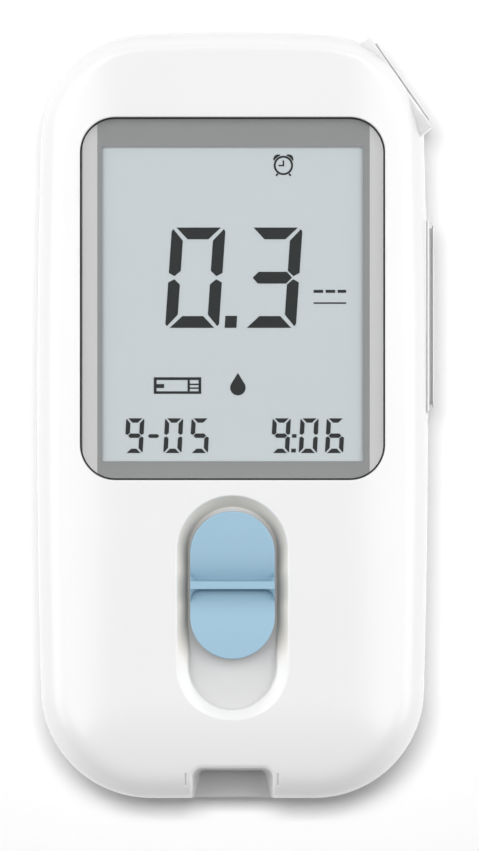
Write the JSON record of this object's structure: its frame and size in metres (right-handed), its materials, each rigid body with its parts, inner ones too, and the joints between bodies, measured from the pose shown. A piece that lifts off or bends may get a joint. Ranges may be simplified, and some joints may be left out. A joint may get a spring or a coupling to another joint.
{
  "type": "blood ketone meter",
  "caption": "Hand-held blood test meter with display window, thumb slider, strip notch, corner key, side rocker key and rear battery door.",
  "frame": {"origin": "middle of the flat rear face that the meter lies on", "axes": "+Z out of the display, +Y to the meter's top end, +X to the side with the rocker key"},
  "size_m": [0.0518, 0.1, 0.0224],
  "materials": {
    "white_plastic": "gloss",
    "inner_plastic": "satin",
    "blue_plastic": "satin",
    "black_plastic": "satin",
    "clear_plastic": "polished",
    "grey_print": "matte",
    "display_face": "satin",
    "rubber": "matte",
    "circuit_board": "satin",
    "steel": "brushed",
    "brass": "satin",
    "cell_sleeve": "gloss",
    "label_paper": "matte"
  },
  "bodies": {
    "case": {"front_cover": "white_plastic", "rear_cover": "white_plastic", "rear_label": "label_paper", "case_screw_1": "steel", "case_screw_2": "steel", "case_screw_3": "steel", "window_lens": "clear_plastic", "window_mask": "grey_print", "lcd_glass": "display_face", "lcd_holder": "inner_plastic", "zebra_strip": "rubber", "ejector_spring": "steel", "power_switch": "black_plastic", "rocker_switch_1": "black_plastic", "rocker_switch_2": "black_plastic", "main_board": "circuit_board", "mcu_chip": "black_plastic", "clock_crystal": "steel", "piezo_buzzer": "black_plastic", "strip_connector": "black_plastic", "strip_contact_1": "brass", "strip_contact_2": "brass", "strip_contact_3": "brass", "strip_contact_4": "brass", "battery_1": "cell_sleeve", "battery_2": "cell_sleeve", "negative_terminal": "steel", "positive_terminal": "steel", "battery_bridge": "steel"},
    "ejector": {"ejector_knob": "blue_plastic", "ejector_carriage": "inner_plastic"},
    "power_key": {"power_key": "white_plastic", "power_plunger": "black_plastic"},
    "side_rocker": {"side_rocker": "white_plastic"},
    "battery_door": {"battery_door": "white_plastic"}
  },
  "joints": [
    {"name": "ejector_slide", "type": "slide", "parent": "case", "child": "ejector", "axis": [0, -1, 0], "range_m": [0, 0.0063], "stiffness_N_per_m": 120, "springref_m": -0.004, "deforming": ["ejector_spring"]},
    {"name": "power_key_press", "type": "slide", "parent": "case", "child": "power_key", "axis": [-0.8192, -0.5736, 0], "range_m": [0, 0.0005], "stiffness_N_per_m": 800, "springref_m": -0.0005},
    {"name": "side_rocker_tilt", "type": "hinge", "parent": "case", "child": "side_rocker", "pos_m": [0.0214, 0.01285, 0.012], "axis": [0, 0, 1], "range_deg": [-2.5, 2.5], "stiffness_Nm_per_rad": 0.3},
    {"name": "battery_door_swing", "type": "hinge", "parent": "case", "child": "battery_door", "pos_m": [0, -0.0053, 0], "axis": [-1, 0, 0], "range_deg": [0, 75]}
  ]
}
